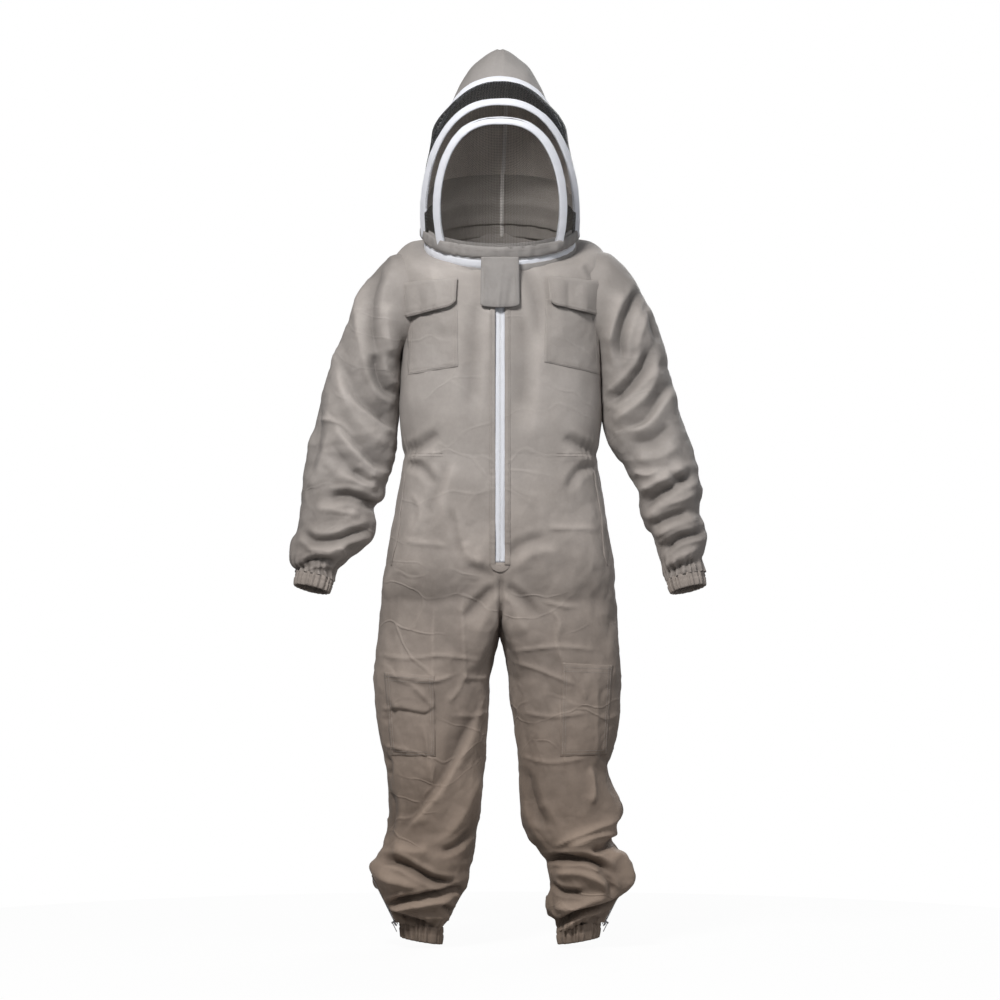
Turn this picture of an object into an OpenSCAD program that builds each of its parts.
// Full-length beekeeping suit with a hooped, zip-on veil.
// Origin: on the mid-plane, at the height of the ankle hems. +Z up, the front faces -Y,
// +X is the wearer's left.

/* [Cloth] */
// Thickness of the suit cloth as modelled
cloth_t = 2; // [1.6:0.1:2.2]
// Thickness of the veil mesh as modelled
mesh_t = 1.2; // [1:0.1:1.4]
// Facets round each soft tube
tube_fn = 32; // [24:4:40]

/* [Body] */
// Half width of the body at the chest
chest_a = 195; // [190:1:196]
// Half width of the body at the waist
waist_a = 196; // [188:1:198]
// Half width of the body at the hips
hip_a = 231; // [229:1:236]
// Distance of the straight front zip line from the centre plane
front_y = 130; // [130:1:130]
// Height of the waist seam
waist_z = 985; // [970:1:1000]

/* [Neck and hood] */
// Radius of the neck zip, at its coils
neck_r = 151; // [151:1:151]
// Forward tilt of the neck ring
neck_tilt = 18; // [18:1:18]
// Height of the top of the hood
hood_top = 1796; // [1780:1:1800]
// Width of the white tape over each hoop
hoop_tape_w = 16; // [12:1:18]
// Diameter of the sprung rod inside each hoop tape
hoop_rod_d = 2.6; // [2:0.2:3]

/* [Front zip] */
// Width of the white zip that shows between the front edges
zip_gap = 17; // [16:1:18]
// Height of the lower end of the front zip
zip_bottom = 768; // [768:1:780]
// Height of the upper end of the front zip
zip_top = 1336; // [1330:1:1338]

/* [Cuffs] */
// Bore radius of each wrist cuff
wrist_r = 32; // [30:1:33]
// Bore radius of each ankle cuff
ankle_r = 39; // [37:1:40]
// Length of each wrist cuff
wrist_len = 26; // [22:1:28]
// Length of each ankle cuff
ankle_len = 32; // [28:1:32]

/* [Pockets] */
// Width of a chest pocket flap
flap_w = 132; // [120:1:134]
// Height of a chest pocket flap
flap_h = 70; // [60:1:74]
// Height of the hinge line of the chest pocket flaps
flap_z = 1330; // [1326:1:1334]

/* [Hidden] */
NODES = [
    "front_panel_left", "front_panel_right", "back_panel", "collar_band", "neck_zip_lower",
    "front_zip_left", "front_zip_right", "front_zip_bottom_stop", "chest_pocket_left",
    "chest_pocket_right", "pocket_loop_patches", "throat_loop_patch", "waist_elastics",
    "side_pocket_welts", "hang_loop", "front_zip_slider", "front_zip_pull", "neck_zip_slider",
    "neck_zip_pull", "throat_flap", "throat_hook_patch", "pocket_flap_left",
    "pocket_flap_right", "flap_hook_patch_left", "flap_hook_patch_right", "sleeve_left",
    "sleeve_right", "wrist_cuff_left", "wrist_cuff_right", "wrist_elastic_left",
    "wrist_elastic_right", "leg_left", "leg_right", "leg_pocket_left", "leg_pocket_right",
    "ankle_cuff_left", "ankle_cuff_right", "ankle_elastic_left", "ankle_elastic_right",
    "ankle_zip_left", "ankle_zip_right", "ankle_zip_slider_left", "ankle_zip_slider_right",
    "ankle_zip_pull_left", "ankle_zip_pull_right", "crown_left", "crown_right", "veil_rear",
    "veil_middle", "veil_front", "hoop_rear_tape", "hoop_middle_tape", "hoop_front_tape",
    "hoop_rear_rod", "hoop_middle_rod", "hoop_front_rod", "hood_band", "neck_zip_upper"
];
node = "all";

suit_color = "#958c82";
dark_color = "#857b71";
white_color = "#e9e9ee";
veil_color = "#3a3835";
metal_color = "#c9c9cc";
elastic_color = "#d8d4cc";

LEFT = 1;
RIGHT = -1;
seam_gap = 0.5; // between panels that meet at a seam
slice = 0.4;    // thickness of the slices that are hulled into skins

// ---- Helpers ----
// Children are drawn on the wearer's left and mirrored for the right
module flip(side) {
    if (side > 0) children();
    else mirror([1, 0, 0]) children();
}
// A box centred on x = 0
module centred_box(size, y, z) translate([-size[0] / 2, y, z]) cube(size);
// Lower edge of a strip that starts `inner` away from zero on the given side
function strip_start(side, inner, width) = side > 0 ? inner : -inner - width;
function signed_pow(value, power) = sign(value) * pow(abs(value), power);
// A closed ring of points, a superellipse between y_front and y_back
function ring(half_w, y_front, y_back, squareness) = [
    for (i = [0:tube_fn - 1])
        let (angle = 360 * i / tube_fn, power = 2 / squareness) [
            half_w * signed_pow(cos(angle), power),
            (y_front + y_back) / 2 + (y_back - y_front) / 2 * signed_pow(sin(angle), power)
        ]
];

// ---- Body ----
// Front y of a section tilted by that angle, so that the front line stays straight
function front_at(tilt) = -front_y / cos(tilt);
// Columns: z, tilt, half width, front y, back y, squareness
BODY = [
    [762, 0, hip_a, front_at(0), 132, 2.6],
    [830, 0, hip_a - 9, front_at(0), 132, 2.6],
    [905, 0, (hip_a + waist_a) / 2 - 4, front_at(0), 126, 2.5],
    [waist_z, 0, waist_a, front_at(0), 116, 2.4],
    [1060, 0, (waist_a + chest_a) / 2 + 1, front_at(0), 122, 2.4],
    [1150, 0, chest_a, front_at(0), 130, 2.5],
    [1235, 0, chest_a - 2, front_at(0), 136, 2.5],
    [1290, 3, chest_a + 7, front_at(3), 142, 2.5],
    [1335, 8, chest_a + 13, front_at(8), 147, 2.4],
    [1366, 13, chest_a + 2, front_at(13), 154, 2.2],
    [1387.3, 18, 150, -130.4, 169.6, 2]
];
module section(row, grow, lift = 0, height = slice)
    translate([0, 0, row[0]]) rotate([row[1], 0, 0]) translate([0, 0, lift])
        linear_extrude(height) polygon(ring(row[2] + grow, row[3] - grow, row[4] + grow, row[5]));
module body_skin(grow) for (i = [0:len(BODY) - 2]) hull() {
    section(BODY[i], grow);
    section(BODY[i + 1], grow);
}
// Layer of thickness t whose outer face is `out` outside the body, open at both ends
module body_shell(out = 0, t = cloth_t) difference() {
    body_skin(out);
    body_skin(out - t);
    section(BODY[0], out - t, -3, 4);
    section(BODY[len(BODY) - 1], out - t, -0.5, 4);
}

// The sleeve head is a ball about the shoulder pivot
shoulder = [212, 8, 1312];
sleeve_ball = 72;
armhole_gap = 3;
module armholes() for (side = [LEFT, RIGHT])
    flip(side) translate(shoulder) sphere(sleeve_ball + armhole_gap, $fn = 32);

// Clipping boxes reach past the body. Side seams at y = 0 divide front from back
clip_w = 400;
clip_d = 300;
clip_z = 700;
clip_h = 800;
module front_panel(side) color(suit_color) difference() {
    intersection() {
        body_shell();
        flip(side) translate([zip_gap / 2, -clip_d, clip_z])
            cube([clip_w, clip_d - seam_gap / 2, clip_h]);
    }
    armholes();
}
module front_panel_left() front_panel(LEFT);
module front_panel_right() front_panel(RIGHT);
module back_panel() color(suit_color) difference() {
    intersection() {
        body_shell();
        centred_box([2 * clip_w, clip_d, clip_h], seam_gap / 2, clip_z);
    }
    armholes();
}

// ---- Neck ----
// The neck frame: origin at the middle of the neck ring, Z along its axis
hood_band_top = 30;
module at_neck() translate([0, 10, 1420]) rotate([neck_tilt, 0, 0]) children();
module neck_band(z0, z1) color(suit_color) at_neck()
    rotate_extrude($fn = 96) translate([neck_r - 0.8, z0]) square([cloth_t, z1 - z0]);
module collar_band() neck_band(-26, -7);
module hood_band() neck_band(7, hood_band_top);

// ---- Zips ----
// Half a zip is a flat tape, a round coil bead and a web that joins them.
// "In" is the distance inwards from the centre of the bead
coil_offset = 1.65; // from the middle of the zip to the bead centre
coil_r = 1.1;
tape_edge = 1.6;
tape_in = 1.1;
tape_t = 1.2;
web_in = 0.4;
web_w = 1;
ring_tape_w = 14.4;
ring_web_t = 1.2;
// Half a ring zip: side +1 is above the middle of the zip, -1 below
module ring_zip(side) color(white_color) at_neck() union() {
    rotate_extrude($fn = 96)
        translate([neck_r - tape_in - tape_t, strip_start(side, tape_edge, ring_tape_w)])
            square([tape_t, ring_tape_w]);
    rotate_extrude($fn = 96) translate([neck_r, side * coil_offset]) circle(coil_r, $fn = 24);
    rotate_extrude($fn = 96)
        translate([neck_r - web_in - ring_web_t, side * coil_offset - web_w / 2])
            square([ring_web_t, web_w]);
}
module neck_zip_lower() ring_zip(-1);
module neck_zip_upper() ring_zip(1);

// Half a straight zip along Z, outward -Y, bead centre at y = 0
module straight_zip(side, length, tape_w) union() {
    translate([strip_start(side, tape_edge, tape_w), tape_in, 0]) cube([tape_w, tape_t, length]);
    translate([side * coil_offset, 0, 0]) cylinder(r = coil_r, h = length, $fn = 24);
    translate([side * coil_offset - web_w / 2, web_in, 0]) cube([web_w, 1, length]);
}
module at_front_zip(z) translate([0, -front_y + 2.5, z]) children();
module front_zip(side) color(white_color) at_front_zip(zip_bottom)
    straight_zip(side, length = zip_top - zip_bottom, tape_w = 18);
module front_zip_left() front_zip(LEFT);
module front_zip_right() front_zip(RIGHT);
module front_zip_bottom_stop() color(metal_color)
    at_front_zip(zip_bottom) centred_box([6.8, 4.4, 4], -1.8, -4.6);

// Sliders and pulls stand on z = 0 and share the crossbar axis
slider_len = 12;
crossbar_y = -5.3;
crossbar_drop = 2.2; // below the top of the slider
lug_x = 2.6;
lug_w = 1.2;
tab_w = 6.4;
tab_y = -6;
tab_t = 1.4;
eye_w = 4.4;
module crossbar(r, width, top, fn) translate([-width / 2, crossbar_y, top - crossbar_drop])
    rotate([0, 90, 0]) cylinder(r = r, h = width, $fn = fn);
// Outer plate, inner plate, a thin bridge between the coils, two lugs and the crossbar
module slider(length = slider_len) color(metal_color) union() {
    centred_box([9, 1.4, length], -2.9, 0);
    centred_box([9, 1.2, length], 2.7, 0);
    centred_box([0.8, 5.2, 4], -2, length - 4);
    for (side = [-1, 1])
        translate([strip_start(side, lug_x, lug_w), -6.6, length - 4]) cube([lug_w, 4, 3.6]);
    crossbar(r = 0.9, width = 6.4, top = length, fn = 24);
}
// Pull tab: an eye round the crossbar and a flat tab that hangs from it
module pull(length = slider_len, tab = 26) color(metal_color) union() {
    difference() {
        union() {
            crossbar(r = 2, width = eye_w, top = length, fn = 32);
            centred_box([eye_w, tab_t, 6], tab_y, length - crossbar_drop - 6);
        }
        crossbar(r = 1.05, width = 6, top = length, fn = 32);
    }
    centred_box([tab_w, tab_t, tab - 5], tab_y, length - crossbar_drop - tab);
}
front_slider_z = zip_top - 14;
module front_zip_slider() at_front_zip(front_slider_z) slider();
module front_zip_pull() at_front_zip(front_slider_z) pull();
neck_slider_angle = 3; // round the ring from the front, towards the wearer's right
module at_neck_slider() at_neck() rotate([0, 0, -neck_slider_angle]) translate([0, -neck_r, 0])
    rotate([0, 90, 0]) translate([0, 0, -slider_len / 2]) children();
module neck_zip_slider() at_neck_slider() slider();
module neck_zip_pull() at_neck_slider() pull(tab = 22);

// ---- Throat flap ----
// A tab over the meeting point of the two zips, hinged along its top edge
patch_t = 1;      // hook and loop patches
patch_gap = 0.3;  // between a flap and its hook patch
throat_patch_h = 22;
loop_patch_w = 11;
THROAT_FLAP = [[-38, 0], [38, 0], [41, -92], [36, -97], [-36, -97], [-41, -92]]; // x, z
module at_throat() translate([0, -front_y - 13, 1381]) rotate([4.5, 0, 0]) children();
module throat_flap() color(suit_color)
    at_throat() rotate([90, 0, 0]) linear_extrude(cloth_t) polygon(THROAT_FLAP);
module throat_hook_patch() color(dark_color)
    at_throat() centred_box([36, patch_t, throat_patch_h], patch_gap, -86);
// One strip on each side of the front zip
module throat_loop_patch() color(dark_color) for (side = [LEFT, RIGHT])
    translate([strip_start(side, 8.8, loop_patch_w), -front_y - 1.7, 1298])
        cube([loop_patch_w, patch_t, throat_patch_h]);

// ---- Chest pockets ----
// A patch that follows the front of the body, x and z each as [from, to]
module front_patch(side, x, z, out, t) intersection() {
    body_shell(out, t);
    flip(side) translate([x[0], -clip_d, z[0]]) cube([x[1] - x[0], clip_d - 20, z[1] - z[0]]);
}
module chest_pocket(side) color(suit_color)
    front_patch(side, x = [84, 184], z = [1150, 1290], out = 3, t = 1.8);
module chest_pocket_left() chest_pocket(LEFT);
module chest_pocket_right() chest_pocket(RIGHT);
module pocket_loop_patches() color(dark_color) for (side = [LEFT, RIGHT])
    front_patch(side, x = [112, 150], z = [1269, 1287], out = 4.4, t = 1.2);

// A flat flap hinged above each pocket, turned to follow the chest
flap_turn = 22;
module at_flap(side)
    flip(side) translate([80, -front_y - 7.5, flap_z]) rotate([0, 0, flap_turn]) children();
module pocket_flap(side) color(suit_color) at_flap(side) rotate([90, 0, 0])
    linear_extrude(cloth_t) polygon([
        [0, 0], [flap_w, 0], [flap_w, -flap_h + 8],
        [flap_w - 8, -flap_h], [8, -flap_h + 4], [0, -flap_h + 14]
    ]);
module pocket_flap_left() pocket_flap(LEFT);
module pocket_flap_right() pocket_flap(RIGHT);
module flap_hook_patch(side) color(dark_color)
    at_flap(side) translate([46, patch_gap, -flap_h + 10]) cube([40, patch_t, 16]);
module flap_hook_patch_left() flap_hook_patch(LEFT);
module flap_hook_patch_right() flap_hook_patch(RIGHT);

// ---- Waist, side pockets and hanging loop ----
waist_elastic_h = 30;
// Strips inside the cloth, at both flanks
module waist_elastics() color(dark_color) for (side = [LEFT, RIGHT]) intersection() {
    body_shell(-cloth_t - 0.6, 1.4);
    flip(side) translate([120, -clip_d, waist_z - waist_elastic_h / 2])
        cube([120, 2 * clip_d, waist_elastic_h]);
}
module side_pocket_welts() color(dark_color) for (side = [LEFT, RIGHT]) intersection() {
    body_shell(2, 1.4);
    flip(side) translate([150, -72, 778]) cube([120, 12, 150]);
}
// Hanging loop at the nape: a ring of tape that a peg passes through, with a tab on top
loop_centre = [0, 163.5, 1402];
loop_r = 11;
loop_w = 8;
module hang_loop() color(suit_color)
    translate(loop_centre - [0, loop_w / 2, 0]) rotate([-90, 0, 0]) difference() {
        union() {
            cylinder(r = loop_r + 2, h = loop_w, $fn = 64);
            centred_box([12, 7.4, 11.4], -loop_r - 8, -3.4);
        }
        translate([0, 0, -1]) cylinder(r = loop_r, h = loop_w + 2, $fn = 64);
    }

// ---- Sleeves ----
// Round sections along the arm, after the ball at the shoulder. Columns: x, y, z, radius
ARM = [
    [266, 10, 1200, 63], [288, 8, 1096, 77], [303, 4, 996, 83], [323, -8, 900, 76],
    [352, -24, 808, 65], [366, -34, 764, 45], [371.5, -38.6, 742, 35.8]
];
arm_last = len(ARM) - 1;
upper_arm_dir = [0.25, 0, -0.97];
wrist_dir = [0.23, -0.2, -0.952];
function arm_point(i) = [ARM[i][0], ARM[i][1], ARM[i][2]];
function arm_dir(i) =
    i == 0 ? upper_arm_dir :
    i >= arm_last - 1 ? wrist_dir :
    arm_point(i + 1) - arm_point(i - 1);
// Moves the origin to a point and turns +Z along a direction
module along(point, dir) translate(point)
    rotate([0, acos(dir[2] / norm(dir)), atan2(dir[1], dir[0])]) children();
module arm_disc(i, grow, height = slice) along(arm_point(i), arm_dir(i))
    cylinder(r = ARM[i][3] + grow, h = height, $fn = 24);
module arm_skin(grow) {
    hull() {
        translate(shoulder) sphere(sleeve_ball + grow, $fn = 24);
        arm_disc(0, grow);
    }
    for (i = [0:arm_last - 1]) hull() {
        arm_disc(i, grow);
        arm_disc(i + 1, grow);
    }
}
module sleeve(side) color(suit_color) flip(side) difference() {
    arm_skin(0);
    arm_skin(-cloth_t);
    arm_disc(arm_last, -cloth_t, 4);
    // Cuts the ball off on the body side
    translate([0, -200, 900]) cube([201, 400, 600]);
}
module sleeve_left() sleeve(LEFT);
module sleeve_right() sleeve(RIGHT);

// ---- Cuffs ----
cuff_gap = 1.2; // between the last section of a limb and its cuff
// A folded casing, open towards the limb
module casing(bore_r, length) color(dark_color) difference() {
    cylinder(r = bore_r + 4.4, h = length, $fn = 72);
    translate([0, 0, -1]) cylinder(r = bore_r, h = length + 2, $fn = 72);
    translate([0, 0, -1]) difference() {
        cylinder(r = bore_r + 3.2, h = length - 1, $fn = 72);
        translate([0, 0, -1]) cylinder(r = bore_r + 1.2, h = length + 1, $fn = 72);
    }
}
// The elastic that lies inside a casing
module elastic(bore_r, length) color(elastic_color) translate([0, 0, 1.5]) difference() {
    cylinder(r = bore_r + 2.9, h = length - 5, $fn = 72);
    translate([0, 0, -1]) cylinder(r = bore_r + 1.5, h = length, $fn = 72);
}
module at_wrist(side)
    flip(side) along(arm_point(arm_last), wrist_dir) translate([0, 0, cuff_gap]) children();
module wrist_cuff_left() at_wrist(LEFT) casing(wrist_r, wrist_len);
module wrist_cuff_right() at_wrist(RIGHT) casing(wrist_r, wrist_len);
module wrist_elastic_left() at_wrist(LEFT) elastic(wrist_r, wrist_len);
module wrist_elastic_right() at_wrist(RIGHT) elastic(wrist_r, wrist_len);

// ---- Legs ----
ankle_x = 158;
// Columns: z, inner x, outer x, half depth, squareness
LEG = [
    [754, 5, 222, 112, 2.2], [640, 5, 241, 110, 2.2], [560, 15, 247, 106, 2.2],
    [460, 27, 243, 100, 2.2], [370, 35, 230, 93, 2.1], [290, 40, 236, 88, 2.1],
    [210, 48, 248, 84, 2], [156, 62, 260, 80, 2], [96, 80, 230, 68, 2],
    [54, 106, 209, 52, 2], [33.4, ankle_x - 43, ankle_x + 43, 43, 2]
];
leg_last = len(LEG) - 1;
module leg_section(i, grow, lift = 0, height = slice) {
    row = LEG[i];
    half_w = (row[2] - row[1]) / 2 + grow;
    translate([0, 0, row[0] + lift]) linear_extrude(height)
        translate([(row[1] + row[2]) / 2, 0])
            polygon(ring(half_w, -row[3] - grow, row[3] + grow, row[4]));
}
module leg_skin(grow) for (i = [0:leg_last - 1]) hull() {
    leg_section(i, grow);
    leg_section(i + 1, grow);
}
module leg_shell(out, t) difference() {
    leg_skin(out);
    leg_skin(out - t);
    leg_section(0, out - t, -0.5, 4);
    leg_section(leg_last, out - t, -4, 5);
}
module leg(side) color(suit_color) flip(side) leg_shell(0, cloth_t);
module leg_left() leg(LEFT);
module leg_right() leg(RIGHT);
module leg_pocket(side) color(suit_color) flip(side) intersection() {
    leg_shell(2.8, 1.8);
    translate([128, -200, 384]) cube([100, 200 - 12, 176]);
}
module leg_pocket_left() leg_pocket(LEFT);
module leg_pocket_right() leg_pocket(RIGHT);

ankle_casing_len = ankle_len + 0.2;
module at_ankle(side) flip(side)
    translate([ankle_x, 0, LEG[leg_last][0] - cuff_gap]) rotate([180, 0, 0]) children();
module ankle_cuff_left() at_ankle(LEFT) casing(ankle_r, ankle_casing_len);
module ankle_cuff_right() at_ankle(RIGHT) casing(ankle_r, ankle_casing_len);
module ankle_elastic_left() at_ankle(LEFT) elastic(ankle_r, ankle_len);
module ankle_elastic_right() at_ankle(RIGHT) elastic(ankle_r, ankle_len);

// Ankle zips: straight, up the outer flank of each leg
ankle_lean = 26.5;
ankle_zip_len = 112;
ankle_slider_len = 10;
module at_ankle_zip(side, z = 0) flip(side) translate([208, 0, 40])
    rotate([0, ankle_lean, 0]) rotate([0, 0, 90]) translate([0, 0, z]) children();
module ankle_zip(side) color(white_color) at_ankle_zip(side) union() {
    straight_zip(1, ankle_zip_len, 7);
    straight_zip(-1, ankle_zip_len, 7);
    centred_box([4.8, 3.2, 2.4], -1, -2.2);
}
module ankle_zip_left() ankle_zip(LEFT);
module ankle_zip_right() ankle_zip(RIGHT);
module ankle_zip_slider_left() at_ankle_zip(LEFT, 1) slider(ankle_slider_len);
module ankle_zip_slider_right() at_ankle_zip(RIGHT, 1) slider(ankle_slider_len);
module ankle_zip_pull_left() at_ankle_zip(LEFT, 1) pull(ankle_slider_len, 20);
module ankle_zip_pull_right() at_ankle_zip(RIGHT, 1) pull(ankle_slider_len, 20);

// ---- Hood ----
// Arches. Columns: base y, base z, lean, half width, height, squareness, pinch at the foot
FRONT_HOOP = [-92, 1400, 15.9, 131, 264, 2.6, 0.17];
MIDDLE_HOOP = [-15, 1420, 22.7, 160, 292, 2.15, 0.05];
REAR_HOOP = [35, 1436, 18.5, 163, 318, 2, 0.07];
crown_h = hood_top - 1446;
CROWN = [
    REAR_HOOP,
    [58, 1444, 4.6, 157, crown_h, 1.55, 0.05],
    [82, 1450, -3, 148, crown_h * 0.85, 1.75, 0.05],
    [104, 1455, -11, 132, crown_h * 0.64, 1.9, 0.04],
    [122, 1460, -19, 106, crown_h * 0.41, 2, 0.02],
    [136, 1464, -28, 74, crown_h * 0.22, 2, 0],
    [146, 1468, -34, 46, crown_h * 0.1, 2, 0]
];
arch_steps = 28;
past = 60; // growth that takes a cutting slab past the whole hood
function arch(row, grow) = [
    for (i = [0:arch_steps])
        let (angle = 180 * i / arch_steps, power = 2 / row[5], rise = pow(abs(sin(angle)), power)) [
            (row[3] + grow) * signed_pow(cos(angle), power) * (1 - row[6] * pow(1 - rise, 4)),
            (row[4] + grow) * rise
        ]
];
function foot_half_w(row) = row[3] * (1 - row[6]);
// An arch outline carried down by `drop` below its base
function arch_with_feet(row, grow, foot, drop) =
    concat(arch(row, grow), [[-foot, -drop], [foot, -drop]]);
// The frame of an arch: Y up the arch, Z forward
module at_arch(row)
    translate([0, row[0], row[1]]) rotate([row[2], 0, 0]) rotate([90, 0, 0]) children();
module arch_slab(row, grow, start = 0, depth = slice)
    at_arch(row) translate([0, 0, start]) linear_extrude(depth)
        polygon(arch_with_feet(row, grow, foot_half_w(row) * 0.999 + grow, 40));
// Hulls between neighbouring arches; front and rear are the [start, depth] of their slabs
module arch_skin(rows, grow = 0, front = [0, slice], rear = [0, slice])
    for (i = [0:len(rows) - 2]) hull() {
        arch_slab(rows[i], grow, front[0], front[1]);
        arch_slab(rows[i + 1], grow, rear[0], rear[1]);
    }
// Everything below the foot of the hood cloth
hood_foot = hood_band_top + 1;
module under_band()
    at_neck() translate([0, 0, -200]) cylinder(r = 240, h = 200 + hood_foot, $fn = 24);

// Veil between two hoops, cut back to clear their tapes
gusset_steps = 4;
module gusset(front, rear) color(veil_color) {
    rows = [for (i = [0:gusset_steps]) front + (rear - front) * i / gusset_steps];
    clearance = (hoop_tape_w + 1) / 2;
    difference() {
        arch_skin(rows);
        arch_skin(rows, -mesh_t, [0.2, 0.8], [-0.6, 1.2]);
        arch_slab(front, past, -clearance, 40);
        arch_slab(rear, past, -40, 40 + clearance);
        under_band();
    }
}
module veil_middle() gusset(FRONT_HOOP, MIDDLE_HOOP);
module veil_rear() gusset(MIDDLE_HOOP, REAR_HOOP);

// Front window: from the front hoop down and forward to the front of the hood band
module chin(inset, grow) at_neck() translate([0, 0, hood_foot]) intersection() {
    cylinder(r = neck_r + 1 + grow - inset, h = slice, $fn = 64);
    centred_box([400, 100 + inset, 3], -200, -1);
}
module window_skin(grow) for (i = [0:3]) hull() {
    arch_slab(FRONT_HOOP, grow - 2 - i, 9, slice + i * 0.2);
    chin(26 * i / 12, grow);
}
module veil_front() color(veil_color) difference() {
    window_skin(-1);
    translate([0, mesh_t, 0]) window_skin(-1 - mesh_t);
    translate([0, mesh_t * 4, 0]) window_skin(-1 - mesh_t);
    arch_slab(FRONT_HOOP, past, -60, 60 + 8.6);
    under_band();
}

// Cloth crown behind the rear hoop, seamed along the mid-plane
module crown_shell() difference() {
    arch_skin(CROWN);
    arch_skin(CROWN, -cloth_t, [-0.4, 1.2], [-0.4, 1.2]);
    arch_slab(REAR_HOOP, past, -hoop_tape_w / 2 - 0.6, 60);
    under_band();
}
module crown_half(side) color(suit_color) intersection() {
    crown_shell();
    flip(side) translate([seam_gap / 2, -200, 1300]) cube([300, 500, 600]);
}
module crown_left() crown_half(LEFT);
module crown_right() crown_half(RIGHT);

// A band along a hoop, its outer face `out` outside the arch
module hoop_band(row, out, t, width)
    at_arch(row) translate([0, 0, -width / 2]) linear_extrude(width) difference() {
        polygon(arch_with_feet(row, out, foot_half_w(row) + out, 1));
        polygon(arch_with_feet(row, out - t, foot_half_w(row) + out - t, 60));
    }
// A white tape with a square channel in which its sprung rod lies
channel_w = hoop_rod_d + 0.6;
module hoop_tape(row) color(white_color) difference() {
    hoop_band(row, 1.5, 5.2, hoop_tape_w);
    hoop_band(row, 0.1, channel_w, channel_w);
    under_band();
}
module hoop_rod(row) color(metal_color) difference() {
    hoop_band(row, -0.2, hoop_rod_d, hoop_rod_d);
    under_band();
}
module hoop_front_tape() hoop_tape(FRONT_HOOP);
module hoop_middle_tape() hoop_tape(MIDDLE_HOOP);
module hoop_rear_tape() hoop_tape(REAR_HOOP);
module hoop_front_rod() hoop_rod(FRONT_HOOP);
module hoop_middle_rod() hoop_rod(MIDDLE_HOOP);
module hoop_rear_rod() hoop_rod(REAR_HOOP);

// ---- Nodes ----
function shown(name) = node == "all" || node == name;
if (shown("front_panel_left")) front_panel_left();
if (shown("front_panel_right")) front_panel_right();
if (shown("back_panel")) back_panel();
if (shown("collar_band")) collar_band();
if (shown("neck_zip_lower")) neck_zip_lower();
if (shown("front_zip_left")) front_zip_left();
if (shown("front_zip_right")) front_zip_right();
if (shown("front_zip_bottom_stop")) front_zip_bottom_stop();
if (shown("chest_pocket_left")) chest_pocket_left();
if (shown("chest_pocket_right")) chest_pocket_right();
if (shown("pocket_loop_patches")) pocket_loop_patches();
if (shown("throat_loop_patch")) throat_loop_patch();
if (shown("waist_elastics")) waist_elastics();
if (shown("side_pocket_welts")) side_pocket_welts();
if (shown("hang_loop")) hang_loop();
if (shown("front_zip_slider")) front_zip_slider();
if (shown("front_zip_pull")) front_zip_pull();
if (shown("neck_zip_slider")) neck_zip_slider();
if (shown("neck_zip_pull")) neck_zip_pull();
if (shown("throat_flap")) throat_flap();
if (shown("throat_hook_patch")) throat_hook_patch();
if (shown("pocket_flap_left")) pocket_flap_left();
if (shown("pocket_flap_right")) pocket_flap_right();
if (shown("flap_hook_patch_left")) flap_hook_patch_left();
if (shown("flap_hook_patch_right")) flap_hook_patch_right();
if (shown("sleeve_left")) sleeve_left();
if (shown("sleeve_right")) sleeve_right();
if (shown("wrist_cuff_left")) wrist_cuff_left();
if (shown("wrist_cuff_right")) wrist_cuff_right();
if (shown("wrist_elastic_left")) wrist_elastic_left();
if (shown("wrist_elastic_right")) wrist_elastic_right();
if (shown("leg_left")) leg_left();
if (shown("leg_right")) leg_right();
if (shown("leg_pocket_left")) leg_pocket_left();
if (shown("leg_pocket_right")) leg_pocket_right();
if (shown("ankle_cuff_left")) ankle_cuff_left();
if (shown("ankle_cuff_right")) ankle_cuff_right();
if (shown("ankle_elastic_left")) ankle_elastic_left();
if (shown("ankle_elastic_right")) ankle_elastic_right();
if (shown("ankle_zip_left")) ankle_zip_left();
if (shown("ankle_zip_right")) ankle_zip_right();
if (shown("ankle_zip_slider_left")) ankle_zip_slider_left();
if (shown("ankle_zip_slider_right")) ankle_zip_slider_right();
if (shown("ankle_zip_pull_left")) ankle_zip_pull_left();
if (shown("ankle_zip_pull_right")) ankle_zip_pull_right();
if (shown("crown_left")) crown_left();
if (shown("crown_right")) crown_right();
if (shown("veil_rear")) veil_rear();
if (shown("veil_middle")) veil_middle();
if (shown("veil_front")) veil_front();
if (shown("hoop_rear_tape")) hoop_rear_tape();
if (shown("hoop_middle_tape")) hoop_middle_tape();
if (shown("hoop_front_tape")) hoop_front_tape();
if (shown("hoop_rear_rod")) hoop_rear_rod();
if (shown("hoop_middle_rod")) hoop_middle_rod();
if (shown("hoop_front_rod")) hoop_front_rod();
if (shown("hood_band")) hood_band();
if (shown("neck_zip_upper")) neck_zip_upper();
